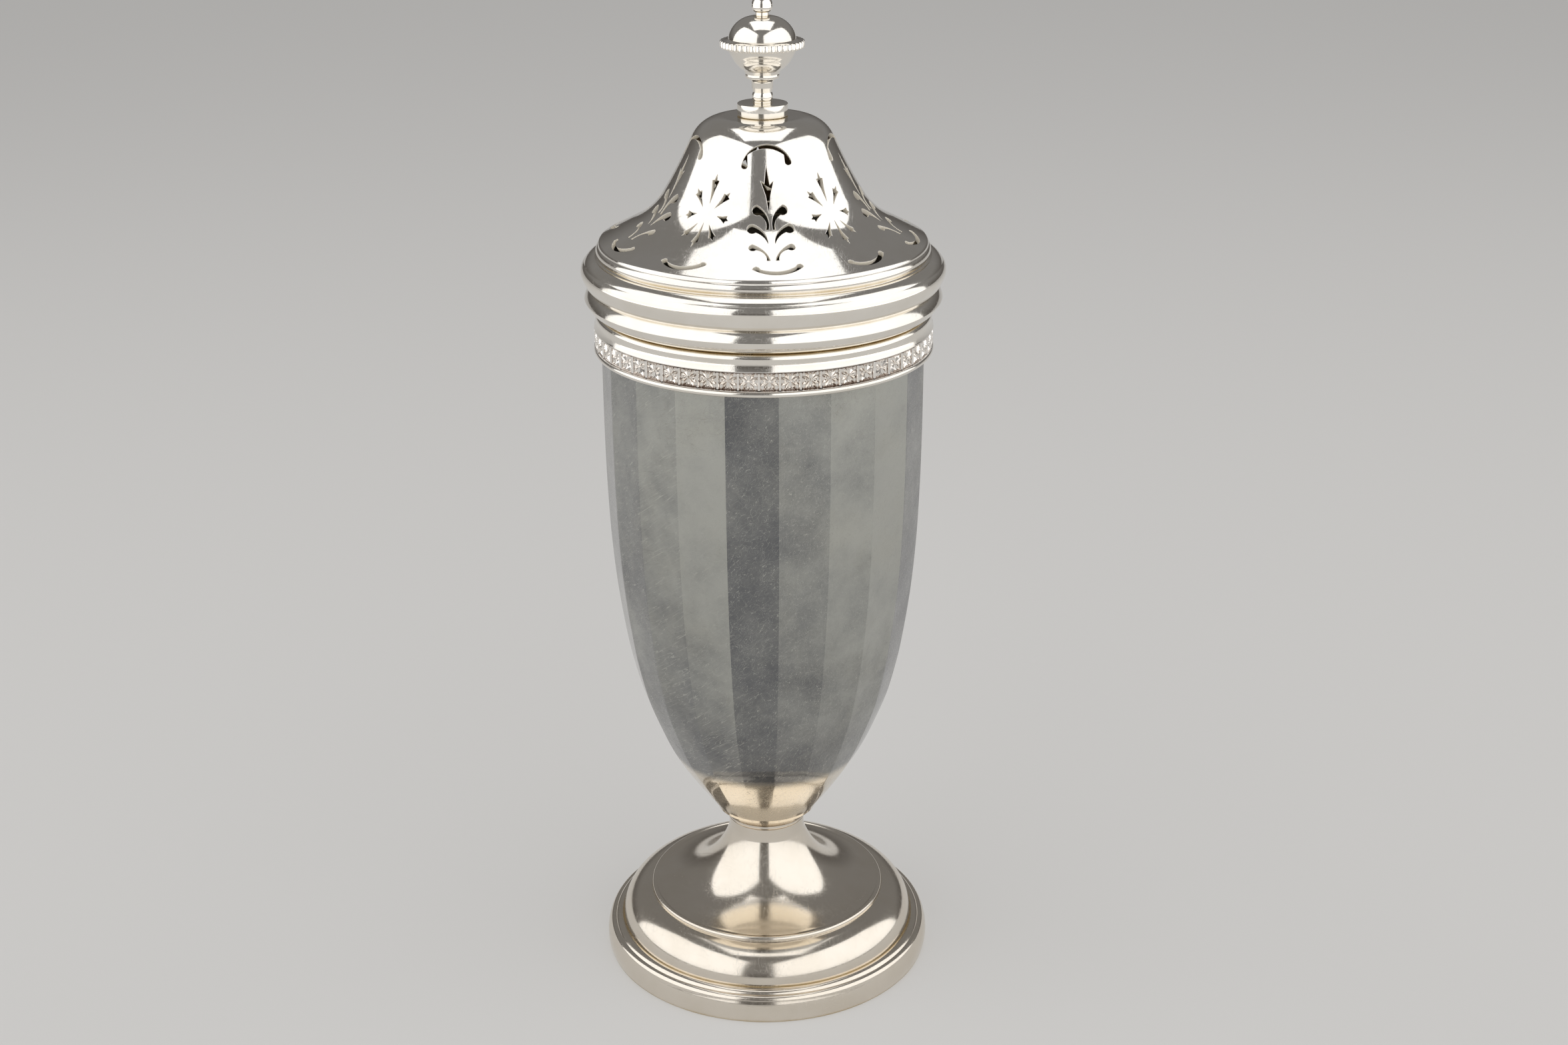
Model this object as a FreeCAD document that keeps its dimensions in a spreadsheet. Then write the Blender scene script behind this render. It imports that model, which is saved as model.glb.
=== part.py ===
import FreeCAD, Part
import Sketcher
import math
import os

# Silver sugar caster: a panelled bowl on a domed foot, closed by a pierced cover that lifts off.
# Millimetres, +Z up, the origin at the centre of the foot's underside, azimuth 0 at the front (-Y).

V = FreeCAD.Vector
doc = FreeCAD.newDocument("sugar_caster")

# Driving dimensions, in the order the caster is put together from the table upwards
SIZES = (
    # Foot rim, a heavy reeded wire
    ("rim_height", 6.0),
    ("rim_radius", 32.4),
    ("rim_ledge", 3.0),
    ("rim_lean", 0.2),
    ("rim_shoulder_drop", 1.3),
    ("reed_drop", 0.5),
    ("reed_width", 1.1),
    # Foot, a raised dome that sweeps in to a neck
    ("foot_height", 20.6),
    ("foot_wall", 1.0),
    ("crease_inset", 6.5),
    ("crease_height", 7.2),
    ("neck_radius", 7.5),
    ("neck_height", 1.0),
    # Collar between foot and bowl
    ("collar_height", 2.6),
    ("collar_bead_height", 1.2),
    ("collar_bead_reach", 0.2),
    # Bowl
    ("bowl_height", 104.8),
    ("bowl_wall", 1.0),
    ("bowl_floor", 1.8),
    ("panel_count", 20),
    ("panel_turn", 4.8),
    # Applied wires and band round the top of the bowl
    ("wire_height", 1.05),
    ("wire_reach", 1.45),
    ("wire_land", 1.05),
    ("band_height", 3.6),
    ("band_thickness", 1.25),
    ("shoulder_height", 2.9),
    ("shoulder_reach", 1.25),
    ("shoulder_land", 0.95),
    ("shoulder_step", 0.9),
    ("shoulder_lip", 0.1),
    # Mouth ring soldered on the bowl's lip
    ("mouth_height", 4.35),
    ("mouth_reach", 2.8),
    ("mouth_step", 1.35),
    ("mouth_foot_reach", 0.15),
    ("mouth_waist_height", 2.6),
    ("mouth_face_inset", 1.05),
    # Cover rim and bead. The rim is the widest moulding and sets the width of cover and bowl.
    ("cover_rim_height", 6.1),
    ("cover_rim_radius", 33.25),
    ("cover_overhang", 0.5),
    ("cover_swell_height", 2.85),
    ("cover_reed_height", 1.8),
    ("cover_reed_depth", 0.65),
    ("cover_cove_drop", 0.25),
    ("cover_cove_depth", 2.65),
    ("cover_bead_height", 1.7),
    ("cover_bead_inset", 0.4),
    # Sleeve inside the cover, a running fit in the mouth ring
    ("sleeve_wall", 0.8),
    ("sleeve_depth", 8.0),
    ("sleeve_clearance", 0.05),
    # Pierced dome
    ("dome_height", 22.85),
    ("dome_inset", 0.2),
    ("dome_wall", 0.9),
    ("plant_count", 5),
    ("plant_turn", 3.8),
    ("saw_reach", 2.6),
    # Peg and washer that rivet the finial to the dome
    ("peg_radius", 1.1),
    ("peg_clearance", 0.05),
    ("peg_socket", 1.0),
    ("peg_head_radius", 1.9),
    ("peg_head_height", 0.6),
    ("washer_radius", 3.5),
    ("washer_thickness", 1.0),
    # Finial, built up from turned pieces
    ("disc_height", 2.0),
    ("disc_radius", 4.5),
    ("disc_edge", 0.3),
    ("stem_height", 3.0),
    ("stem_radius", 1.65),
    ("stem_bead_base", 0.7),
    ("stem_bead_height", 1.5),
    ("stem_top_radius", 1.9),
    ("cup_height", 6.95),
    ("cup_radius", 5.75),
    ("cup_ring_radius", 3.2),
    ("cup_flare_height", 1.1),
    ("cup_ring_height", 1.2),
    ("cup_rim_height", 1.9),
    ("gadroon_height", 2.05),
    ("gadroon_radius", 7.49),
    ("gadroon_edge", 1.3),
    ("gadroon_count", 40),
    ("gadroon_cut_radius", 0.45),
    ("gadroon_cut_depth", 0.3),
    ("crown_height", 3.7),
    ("crown_radius", 5.85),
    ("knop_height", 3.3),
    ("knop_radius", 1.83),
    ("knop_waist", 1.5),
    ("knop_neck_radius", 1.15),
    ("knop_tip_radius", 0.3),
    # One overrun for every cut that leaves through a face
    ("overrun", 1.0),
)

dim = doc.addObject("Spreadsheet::Sheet", "dim")
for row, (alias, size) in enumerate(SIZES, start=1):
    dim.set("A%d" % row, alias)
    dim.set("B%d" % row, str(size))
    dim.setAlias("B%d" % row, alias)
doc.recompute()


def bound(expression):
    """The expression with each size's name pointed at its cell."""
    words = expression.replace("(", "( ").replace(")", " )").split()
    return " ".join("dim." + word if word[0].isalpha() and "(" not in word else word for word in words)


def value(expression):
    """The number that an expression of named sizes comes to."""
    return float(dim.evalExpression(bound(expression)))


# Heights at which one piece seats on the next, each the sum of what stands below it
foot_base = "rim_height"
collar_base = foot_base + " + foot_height"
bowl_base = collar_base + " + collar_height"
bowl_top = bowl_base + " + bowl_height"
parting = bowl_top + " + mouth_height"
cover_bead_base = parting + " + cover_rim_height"
dome_base = cover_bead_base + " + cover_bead_height"
dome_top = dome_base + " + dome_height"
stem_base = dome_top + " + disc_height"
cup_base = stem_base + " + stem_height"
gadroon_base = cup_base + " + cup_height"
crown_base = gadroon_base + " + gadroon_height"
knop_base = crown_base + " + crown_height"
knop_top = knop_base + " + knop_height"
shoulder_base = bowl_top + " - shoulder_height"
band_base = shoulder_base + " - band_height"
wire_base = band_base + " - wire_height"

# Radii that follow the widest moulding, each by its own step inwards
foot_radius = "rim_radius - rim_ledge"
crease_radius = foot_radius + " - crease_inset"
mouth_radius = "cover_rim_radius - cover_overhang"
mouth_face_radius = mouth_radius + " - mouth_face_inset"
bowl_radius = mouth_radius + " - mouth_reach"
mouth_bore_radius = bowl_radius + " - mouth_step"
cover_cove_radius = "cover_rim_radius - cover_cove_depth"
cover_bead_radius = cover_cove_radius + " - cover_bead_inset"
dome_radius = cover_bead_radius + " - dome_inset"

# The sleeve follows the bore it runs in, and the hole for the peg follows the peg
sleeve_radius = mouth_bore_radius + " - sleeve_clearance"
peg_hole_radius = "peg_radius + peg_clearance"


def arc_middle(start, end, rise_share):
    """Middle of the arc from start to end that swells to the right by a share of its chord."""
    chord = end - start
    return (start + end) * 0.5 + V(chord.y, -chord.x, 0) * rise_share


def flat_edge(start, end, rise_share):
    """Line or arc between two points of an outline in the XY plane."""
    if rise_share == 0:
        return Part.LineSegment(start, end)
    return Part.Arc(start, arc_middle(start, end, rise_share), end)


def rise_of(corner):
    """The rise share of the edge that leads to a corner of an outline."""
    return corner[2] if len(corner) > 2 else 0


def sketch_arc(sketch, start, end, rise_share):
    """Arc in a sketch, which keeps its arcs anticlockwise. Gives its index and its two ends."""
    radius_share = 1 / (8 * abs(rise_share)) + abs(rise_share) / 2
    radius = (end - start).Length * radius_share
    middle = arc_middle(start, end, rise_share)
    centre = middle + ((start + end) * 0.5 - middle).normalize() * radius
    first, last = (start, end) if rise_share > 0 else (end, start)
    turns = [math.atan2(point.y - centre.y, point.x - centre.x) for point in (first, last)]
    circle = Part.Circle(centre, V(0, 0, 1), radius)
    edge = sketch.addGeometry(Part.ArcOfCircle(circle, turns[0], turns[1]), False)
    tips = ((edge, 1), (edge, 2)) if rise_share > 0 else ((edge, 2), (edge, 1))
    return edge, tips, radius, radius_share


def lathe(label, outline):
    """Piece turned about Z. The outline runs anticlockwise through corners (radius, height), or
    (radius, height, rise share) where an arc that swells by that share of its chord leads there."""
    body = doc.addObject("PartDesign::Body", label)
    body.Label = label
    sketch = body.newObject("Sketcher::SketchObject", label + "_outline")
    sketch.AttachmentSupport = (origin_plane(body, "XZ_Plane"), "")
    sketch.MapMode = "FlatFace"
    points = [V(value(corner[0]), value(corner[1]), 0) for corner in outline]
    tips = []
    for index, corner in enumerate(outline):
        start = points[index - 1]
        end = points[index]
        if rise_of(corner) == 0:
            edge = sketch.addGeometry(Part.LineSegment(start, end), False)
            tips.append(((edge, 1), (edge, 2)))
            continue
        edge, ends, radius, radius_share = sketch_arc(sketch, start, end, rise_of(corner))
        tips.append(ends)
        across = "( %s - ( %s ) ) ^ 2" % (corner[0], outline[index - 1][0])
        upward = "( %s - ( %s ) ) ^ 2" % (corner[1], outline[index - 1][1])
        bend = sketch.addConstraint(Sketcher.Constraint("Radius", edge, radius))
        chord = "( %s + %s ) ^ ( 1 / 2 )" % (across, upward)
        sketch.setExpression("Constraints[%d]" % bend, bound("%s * %r" % (chord, radius_share)))
    for index, corner in enumerate(outline):
        tip = tips[index][1]
        following = tips[(index + 1) % len(outline)][0]
        sketch.addConstraint(Sketcher.Constraint("Coincident", *tip, *following))
        places = (("DistanceX", -2, corner[0], points[index].x), ("DistanceY", -1, corner[1], points[index].y))
        for kind, axis, text, size in places:
            if text == "0":
                sketch.addConstraint(Sketcher.Constraint("PointOnObject", *tip, axis))
                continue
            place = sketch.addConstraint(Sketcher.Constraint(kind, -1, 1, *tip, size))
            sketch.setExpression("Constraints[%d]" % place, bound(text))
    turned = body.newObject("PartDesign::Revolution", label + "_turned")
    turned.Profile = sketch
    turned.ReferenceAxis = (sketch, ["V_Axis"])
    turned.Angle = 360
    return body


def origin_plane(body, role):
    """Plane or axis of a body's own origin."""
    return [item for item in body.Origin.OriginFeatures if item.Role == role][0]


def tube(label, base, height, inner_radius, outer_radius):
    """Plain ring cut from a drawn tube."""
    cylinders = []
    for name, radius in (("outside", outer_radius), ("bore", inner_radius)):
        cylinder = doc.addObject("Part::Cylinder", "%s_%s" % (label, name))
        cylinder.setExpression("Radius", bound(radius))
        cylinder.setExpression("Height", bound(height))
        cylinder.setExpression("Placement.Base.z", bound(base))
        cylinders.append(cylinder)
    ring = doc.addObject("Part::Cut", label)
    ring.Label = label
    ring.Base, ring.Tool = cylinders
    return ring


# Foot rim: a cast wire with a swelling wall and two reeds, soldered under the foot's edge
rim_swell_share = 0.096
reed_swell_share = 0.2
foot_bore_radius = foot_radius + " - foot_wall"
rim_shoulder_radius = "rim_radius - rim_lean"
foot_rim = lathe("foot_rim", (
    (foot_bore_radius, "0"),
    ("rim_radius", "0"),
    (rim_shoulder_radius, "rim_height - rim_shoulder_drop", rim_swell_share),
    (rim_shoulder_radius + " - reed_width", "rim_height - reed_drop", reed_swell_share),
    (foot_radius, "rim_height", reed_swell_share),
    (foot_bore_radius, "rim_height"),
))

# Foot: spun sheet, a quarter round above the rim and then one long hollow sweep to the neck
ovolo_share = 0.165
ovolo_inside_share = 0.157
sweep_share = 0.144
sweep_inside_share = 0.159
crease_level = foot_base + " + crease_height"
neck_level = collar_base + " - neck_height"
neck_bore_radius = "neck_radius - foot_wall"
foot = lathe("foot", (
    (foot_bore_radius, foot_base, -ovolo_inside_share),
    (foot_radius, foot_base),
    (crease_radius, crease_level, ovolo_share),
    ("neck_radius", neck_level, -sweep_share),
    ("neck_radius", collar_base),
    (neck_bore_radius, collar_base),
    (neck_bore_radius, neck_level),
    (crease_radius, crease_level + " - foot_wall", sweep_inside_share),
))

# Collar: a solid plug with a small bead, which joins the foot's neck to the bowl
collar_bead_share = 0.2
foot_collar = lathe("foot_collar", (
    ("0", collar_base),
    ("neck_radius", collar_base),
    ("neck_radius", bowl_base + " - collar_bead_height"),
    ("neck_radius + collar_bead_reach", bowl_base, collar_bead_share),
    ("0", bowl_base),
))

# Bowl: raised round from the sheet and then planished into flat upright panels, which fade
# out towards the underside. Each row gives height, corner radius and how flat the panels are.
BOWL_SHARES = (
    (0.000, 0.274, 0.0),
    (0.041, 0.386, 0.0),
    (0.106, 0.544, 0.5),
    (0.161, 0.654, 0.7),
    (0.217, 0.738, 0.8),
    (0.270, 0.807, 0.85),
    (0.373, 0.893, 0.9),
    (0.479, 0.946, 0.9),
    (0.582, 0.977, 0.9),
    (0.685, 0.993, 0.9),
    (0.785, 1.000, 0.9),
    (1.000, 1.000, 0.9),
)
panel_step = 360 / value("panel_count")


def around(radius, azimuth, level):
    """Point at a radius, an azimuth measured from the front towards +X, and a height."""
    turn = math.radians(azimuth)
    return V(radius * math.sin(turn), -radius * math.cos(turn), level)


def panelled_section(level, radius, flat_share):
    """Closed ring of shallow arcs, one across each panel."""
    middle_radius = radius - flat_share * radius * (1 - math.cos(math.radians(panel_step / 2)))
    arcs = []
    for panel in range(int(value("panel_count"))):
        left = value("panel_turn") + panel * panel_step
        arcs.append(Part.Arc(
            around(radius, left, level),
            around(middle_radius, left + panel_step / 2, level),
            around(radius, left + panel_step, level),
        ).toShape())
    return Part.Wire(arcs)


def bowl_radius_share(height_share):
    """Radius share of the bowl between two rows of its table."""
    for (low, low_radius, _), (high, high_radius, _) in zip(BOWL_SHARES[:-1], BOWL_SHARES[1:]):
        if height_share <= high:
            return low_radius + (high_radius - low_radius) * (height_share - low) / (high - low)
    return BOWL_SHARES[-1][1]


def loft(label, sections):
    """Solid through a stack of closed sections."""
    features = []
    for index, section in enumerate(sections):
        feature = doc.addObject("Part::Feature", "%s_section_%d" % (label, index))
        feature.Shape = section
        features.append(feature)
    skin = doc.addObject("Part::Loft", label)
    skin.Sections = features
    skin.Solid = True
    skin.Ruled = False
    return skin


bowl_outside = loft("bowl_outside", [
    panelled_section(value(bowl_base) + share * value("bowl_height"), radius_share * value(bowl_radius), flat)
    for share, radius_share, flat in BOWL_SHARES
])
floor_share = value("bowl_floor") / value("bowl_height")
hollow_shares = [floor_share]
hollow_shares += [row[0] for row in BOWL_SHARES if row[0] > floor_share + floor_share / 2]
hollow_levels = [value(bowl_base) + share * value("bowl_height") for share in hollow_shares]
hollow_radii = [bowl_radius_share(share) * value(bowl_radius) - value("bowl_wall") for share in hollow_shares]
hollow_levels.append(hollow_levels[-1] + value("overrun"))
hollow_radii.append(hollow_radii[-1])
bowl_inside = loft("bowl_inside", [
    Part.Wire(Part.Circle(V(0, 0, level), V(0, 0, 1), radius).toShape())
    for level, radius in zip(hollow_levels, hollow_radii)
])
bowl = doc.addObject("Part::Cut", "bowl")
bowl.Label = "bowl"
bowl.Base = bowl_outside
bowl.Tool = bowl_inside

# Band wire: a half round wire that edges the band from below
wire_share = 0.3
wire_land_radius = bowl_radius + " + wire_land"
band_wire = lathe("band_wire", (
    (bowl_radius, wire_base),
    (wire_land_radius, wire_base),
    (wire_land_radius, band_base, wire_share),
    (bowl_radius, band_base),
))

# Band strip: the milled strip between the wires
band_strip = tube("band_strip", band_base, "band_height", bowl_radius, bowl_radius + " + band_thickness")

# Shoulder moulding: closes the band from above and steps in under the mouth ring
shoulder_share = 0.25
shoulder_level = shoulder_base + " + shoulder_step"
shoulder_moulding = lathe("shoulder_moulding", (
    (bowl_radius, shoulder_base),
    (bowl_radius + " + shoulder_reach", shoulder_base),
    (bowl_radius + " + shoulder_land", shoulder_level),
    (bowl_radius + " + shoulder_land", shoulder_level + " + shoulder_step"),
    (bowl_radius + " + shoulder_lip", bowl_top, shoulder_share),
    (bowl_radius, bowl_top),
))

# Mouth ring: a turned ring on the lip, with the bore that the cover's sleeve runs in
mouth_under_share = 0.116
mouth_over_share = 0.063
mouth_ring = lathe("mouth_ring", (
    (mouth_bore_radius, bowl_top),
    (bowl_radius + " + mouth_foot_reach", bowl_top),
    (mouth_radius, bowl_top + " + mouth_waist_height", mouth_under_share),
    (mouth_face_radius, parting, mouth_over_share),
    (mouth_bore_radius, parting),
))

# Cover rim: the widest moulding, with a swelling underside, a reed and a cove
cover_swell_share = 0.058
cover_reed_share = 0.13
cover_cove_share = 0.13
cover_reed_level = parting + " + cover_swell_height"
cover_rim = lathe("cover_rim", (
    (sleeve_radius, parting),
    (mouth_face_radius, parting),
    ("cover_rim_radius", cover_reed_level, cover_swell_share),
    ("cover_rim_radius - cover_reed_depth", cover_reed_level + " + cover_reed_height", cover_reed_share),
    (cover_cove_radius, cover_bead_base + " - cover_cove_drop", cover_cove_share),
    (cover_bead_radius, cover_bead_base),
    (sleeve_radius, cover_bead_base),
))

# Cover bead: the small torus at the root of the dome
cover_bead_share = 0.2
cover_bead = lathe("cover_bead", (
    (sleeve_radius, cover_bead_base),
    (cover_bead_radius, cover_bead_base),
    (dome_radius, dome_base, cover_bead_share),
    (sleeve_radius, dome_base),
))

# Cover sleeve: a drawn ring soldered inside the cover rim, which reaches down into the mouth
cover_sleeve = tube(
    "cover_sleeve",
    parting + " - sleeve_depth",
    "sleeve_depth + cover_rim_height",
    sleeve_radius + " - sleeve_wall",
    sleeve_radius,
)

# Dome: raised sheet with a flat crown, a hollow flank and a flange that turns down at its edge.
# Each row gives radius, height and the rise of the arc that leads there from the row before.
DOME_SHARES = (
    (1.000, 0.000, 0.0),
    (0.967, 0.059, 0.12),
    (0.797, 0.164, 0.0),
    (0.592, 0.427, -0.075),
    (0.430, 0.829, -0.015),
    (0.233, 1.000, 0.150),
)
first_pierced_row = 2


def meridian_point(radius_share, height_share):
    """Point of the dome's outside in the meridian plane, as (radius, height)."""
    return V(radius_share * value(dome_radius), value(dome_base) + height_share * value("dome_height"), 0)


def inset_points(points, rises, wall):
    """Corners of an outline moved to its left by the wall, along the mean of their edges' normals."""
    edges = [flat_edge(start, end, rise).toShape() for start, end, rise in zip(points[:-1], points[1:], rises[1:])]
    leaving = [edge.tangentAt(edge.FirstParameter) for edge in edges]
    arriving = [edge.tangentAt(edge.LastParameter) for edge in edges]
    inset = []
    for index, point in enumerate(points):
        along = leaving[min(index, len(edges) - 1)] + arriving[max(index - 1, 0)]
        along.normalize()
        inset.append(point + V(-along.y, along.x, 0) * wall)
    return inset


dome_points = [meridian_point(row[0], row[1]) for row in DOME_SHARES]
dome_rises = [row[2] for row in DOME_SHARES]
inside_points = inset_points(dome_points, dome_rises, value("dome_wall"))
inside_points[0] = dome_points[0] - V(value("dome_wall"), 0, 0)
inside_points[-1] = dome_points[-1] - V(0, value("dome_wall"), 0)
crown_hole = [V(value(peg_hole_radius), point.y, 0) for point in (dome_points[-1], inside_points[-1])]
dome_outline = dome_points + crown_hole + inside_points[::-1]
outline_rises = dome_rises + [0, 0, 0] + [-rise for rise in dome_rises[:0:-1]]
dome_edges = [
    flat_edge(dome_outline[index - 1], dome_outline[index], outline_rises[index]).toShape()
    for index in range(len(dome_outline))
]
dome_profile = doc.addObject("Part::Feature", "dome_profile")
dome_profile.Shape = Part.Face(Part.Wire(dome_edges))
dome_profile.Placement = FreeCAD.Placement(V(0, 0, 0), FreeCAD.Rotation(V(1, 0, 0), 90))
dome_blank = doc.addObject("Part::Revolution", "dome_blank")
dome_blank.Source = dome_profile
dome_blank.Axis = V(0, 0, 1)
dome_blank.Angle = 360
dome_blank.Solid = True

# The saw-pierced pattern. Five plants alternate with five flowers above a row of ten scrolls.
# A corner is (across, up) or (across, up, rise): across in shares of a quarter of the turn from one
# plant to the next, up in shares of the flank's length from flange to crown, and rise as above.
ARCH_SHARES = (
    (-0.96, 0.706, -0.6), (0.96, 0.706, -0.37), (0.73, 0.710, -0.6), (0.71, 0.744),
    (-0.71, 0.744, 0.15), (-0.73, 0.710),
)
SPEAR_SHARES = (
    (0.00, 0.427), (0.06, 0.520), (0.26, 0.609), (0.09, 0.578),
    (0.00, 0.696), (-0.09, 0.578), (-0.26, 0.609), (-0.06, 0.520),
)
UPPER_LEAF_SHARES = ((0.06, 0.336, 0.16), (0.16, 0.336), (0.34, 0.423, -0.18), (0.40, 0.485, 0.57))
MIDDLE_LEAF_SHARES = ((0.10, 0.248, 0.18), (0.40, 0.324, -0.11), (0.50, 0.373, 0.70))
LOWER_LEAF_SHARES = ((0.05, 0.120, 0.28), (0.13, 0.120), (0.36, 0.218, -0.23), (0.44, 0.259, 0.80))
TOP_PETAL_SHARES = (
    (0.00, 0.467), (0.14, 0.578), (0.06, 0.583), (0.00, 0.637), (-0.06, 0.583), (-0.14, 0.578),
)
UPPER_PETAL_SHARES = ((0.22, 0.442), (0.61, 0.470), (0.71, 0.506), (0.58, 0.528), (0.49, 0.556))
SIDE_PETAL_SHARES = ((0.44, 0.420), (0.51, 0.363), (0.74, 0.383), (0.69, 0.431))
LOWER_PETAL_SHARES = (
    (0.22, 0.351), (0.37, 0.261), (0.39, 0.230), (0.49, 0.251), (0.57, 0.235), (0.59, 0.285),
)
BOTTOM_PETAL_SHARES = (
    (0.00, 0.334), (-0.17, 0.218), (-0.18, 0.153), (0.00, 0.181), (0.18, 0.153), (0.17, 0.218),
)
SCROLL_SHARES = (
    (-0.53, 0.048, 0.48), (0.53, 0.048, 0.11), (0.29, 0.036, 0.48), (-0.29, 0.036, 0.12),
)
plant_step = 360 / value("plant_count")
quarter_step = plant_step / 4
PLANT_CUTS = (
    (ARCH_SHARES, False), (SPEAR_SHARES, False), (UPPER_LEAF_SHARES, True),
    (MIDDLE_LEAF_SHARES, True), (LOWER_LEAF_SHARES, True),
)
FLOWER_CUTS = (
    (TOP_PETAL_SHARES, False), (UPPER_PETAL_SHARES, True), (SIDE_PETAL_SHARES, True),
    (LOWER_PETAL_SHARES, True), (BOTTOM_PETAL_SHARES, False),
)
SCROLL_CUTS = ((SCROLL_SHARES, False),)
flank_edges = [
    flat_edge(start, end, rise).toShape()
    for start, end, rise in zip(dome_points[1:-1], dome_points[2:], dome_rises[first_pierced_row:])
]
flank_length = sum(edge.Length for edge in flank_edges)


def on_flank(length_share):
    """Point of the flank and its outward normal in the meridian plane, at a share of its length."""
    left = length_share * flank_length
    for edge in flank_edges:
        if left <= edge.Length or edge is flank_edges[-1]:
            break
        left -= edge.Length
    place = edge.getParameterByLength(min(left, edge.Length))
    tangent = edge.tangentAt(place)
    return edge.valueAt(place), V(tangent.y, -tangent.x, 0)


def saw_cut(azimuth, corners):
    """Prism of one hole, square to the sheet at the middle of the hole."""
    rises = [rise_of(corner) for corner in corners]
    places = []
    for corner in corners:
        point, _ = on_flank(corner[1])
        places.append(around(point.x, azimuth + corner[0] * quarter_step, point.y))
    across_middle = sum(corner[0] for corner in corners) / len(corners)
    point, normal = on_flank(sum(corner[1] for corner in corners) / len(corners))
    turn = azimuth + across_middle * quarter_step
    middle = around(point.x, turn, point.y)
    outward = around(normal.x, turn, normal.y)
    east = around(1, turn + 90, 0)
    north = outward.cross(east)
    flat = [V((place - middle).dot(east), (place - middle).dot(north), 0) for place in places]
    edges = []
    for index, end in enumerate(flat):
        edges.append(flat_edge(flat[index - 1], end, rises[index]).toShape())
    face = Part.Face(Part.Wire(edges))
    frame = FreeCAD.Placement(FreeCAD.Matrix(
        east.x, north.x, outward.x, middle.x,
        east.y, north.y, outward.y, middle.y,
        east.z, north.z, outward.z, middle.z,
        0, 0, 0, 1,
    ))
    face.Placement = frame
    reach = value("saw_reach")
    return face.translated(outward * -reach).extrude(outward * (2 * reach))


def mirrored(corners):
    """The same hole on the other side of its motif."""
    return [(-corner[0], corner[1], -rise_of(corner)) for corner in corners]


prisms = []
plant_total = int(value("plant_count"))
motifs = (
    (PLANT_CUTS, plant_total, value("plant_turn")),
    (FLOWER_CUTS, plant_total, value("plant_turn") + plant_step / 2),
    (SCROLL_CUTS, 2 * plant_total, value("plant_turn")),
)
for cuts, total, turn in motifs:
    for motif in range(total):
        azimuth = turn + motif * 360 / total
        for corners, paired in cuts:
            prisms.append(saw_cut(azimuth, corners))
            if paired:
                prisms.append(saw_cut(azimuth, mirrored(corners)))
piercings = doc.addObject("Part::Feature", "piercings")
piercings.Shape = Part.Compound(prisms)
cover_dome = doc.addObject("Part::Cut", "cover_dome")
cover_dome.Label = "cover_dome"
cover_dome.Base = dome_blank
cover_dome.Tool = piercings

# Finial washer and peg: the peg is riveted over the washer under the crown
washer_base = dome_top + " - dome_wall - washer_thickness"
finial_washer = tube("finial_washer", washer_base, "washer_thickness", peg_hole_radius, "washer_radius")
peg_head_share = 0.2
finial_peg = lathe("finial_peg", (
    ("0", washer_base + " - peg_head_height"),
    ("peg_head_radius", washer_base, peg_head_share),
    ("peg_radius", washer_base),
    ("peg_radius", stem_base + " + peg_socket"),
    ("0", stem_base + " + peg_socket"),
))

# Finial disc: a turned plate that spreads the finial over the dome's crown
edge_share = 0.207
finial_disc = lathe("finial_disc", (
    (peg_hole_radius, dome_top),
    ("disc_radius - disc_edge", dome_top),
    ("disc_radius", dome_top + " + disc_edge", edge_share),
    ("disc_radius", stem_base + " - disc_edge"),
    ("disc_radius - disc_edge", stem_base, edge_share),
    (peg_hole_radius, stem_base),
))

# Finial stem: a short baluster with one bead, drilled from below for the peg
stem_bead_share = 0.15
socket_top = stem_base + " + peg_socket + peg_clearance"
stem_bead_level = stem_base + " + stem_bead_base"
finial_stem = lathe("finial_stem", (
    (peg_hole_radius, stem_base),
    ("stem_radius", stem_base),
    ("stem_radius", stem_bead_level),
    ("stem_radius", stem_bead_level + " + stem_bead_height", stem_bead_share),
    ("stem_top_radius", cup_base),
    ("0", cup_base),
    ("0", socket_top),
    (peg_hole_radius, socket_top),
))

# Finial cup: flares from the stem through a ring to the bell under the gadroons
cup_flare_share = 0.12
cup_bell_share = 0.11
cup_ring_level = cup_base + " + cup_flare_height"
finial_cup = lathe("finial_cup", (
    ("0", cup_base),
    ("stem_top_radius", cup_base),
    ("cup_ring_radius", cup_ring_level, -cup_flare_share),
    ("cup_ring_radius", cup_ring_level + " + cup_ring_height"),
    ("cup_radius", gadroon_base + " - cup_rim_height", cup_bell_share),
    ("cup_radius", gadroon_base),
    ("0", gadroon_base),
))

# Finial gadroon: a flange whose edge is cut into lobes
gadroon_cove_share = 0.08
finial_gadroon = lathe("finial_gadroon", (
    ("0", gadroon_base),
    ("gadroon_radius", gadroon_base),
    ("gadroon_radius", gadroon_base + " + gadroon_edge"),
    ("crown_radius", crown_base, -gadroon_cove_share),
    ("0", crown_base),
))
doc.recompute()
uncut_volume = finial_gadroon.Shape.Volume
gadroon_outline = finial_gadroon.newObject("Sketcher::SketchObject", "gadroon_outline")
gadroon_outline.AttachmentSupport = (origin_plane(finial_gadroon, "XY_Plane"), "")
gadroon_outline.MapMode = "FlatFace"
cut_place = "gadroon_radius + gadroon_cut_radius - gadroon_cut_depth"
cut_circle = Part.Circle(V(0, value(cut_place), 0), V(0, 0, 1), value("gadroon_cut_radius"))
circle_edge = gadroon_outline.addGeometry(cut_circle, False)
gadroon_outline.addConstraint(Sketcher.Constraint("PointOnObject", circle_edge, 3, -2))
gadroon_outline.addConstraint(Sketcher.Constraint("DistanceY", -1, 1, circle_edge, 3, value(cut_place)))
gadroon_outline.setExpression("Constraints[1]", bound(cut_place))
gadroon_outline.addConstraint(Sketcher.Constraint("Radius", circle_edge, value("gadroon_cut_radius")))
gadroon_outline.setExpression("Constraints[2]", bound("gadroon_cut_radius"))
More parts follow.
